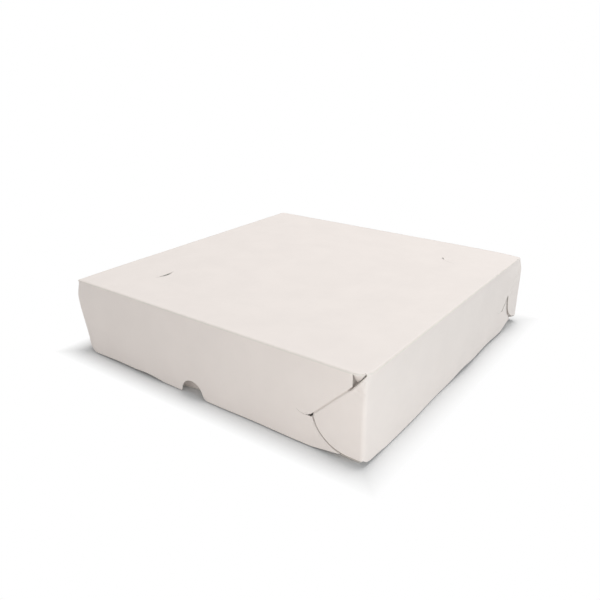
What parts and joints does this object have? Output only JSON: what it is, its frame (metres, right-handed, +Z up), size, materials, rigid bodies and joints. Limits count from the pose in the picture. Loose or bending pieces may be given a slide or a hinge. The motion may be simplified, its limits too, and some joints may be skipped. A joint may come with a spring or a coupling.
{
  "type": "telescoping snack box",
  "caption": "Shallow square paperboard box with a telescoping lid, hand-locked corners and a thumb notch.",
  "frame": {"origin": "middle of the footprint, on the surface that the box stands on", "axes": "+Z up, square to the lid's panel; the wall with the thumb notch faces -Y, and +X is to its right"},
  "size_m": [0.22, 0.22, 0.0512],
  "materials": {
    "lid_board": "uncoated matt white paperboard, 0.5 mm thick",
    "base_board": "uncoated matt white paperboard, 0.5 mm thick"
  },
  "bodies": {
    "base": {"base": "base_board"},
    "lid": {"lid": "lid_board"}
  },
  "joints": [
    {"name": "lid_lift", "type": "slide", "parent": "base", "child": "lid", "axis": [0, 0, 1], "range_m": [0, 0.06]}
  ]
}
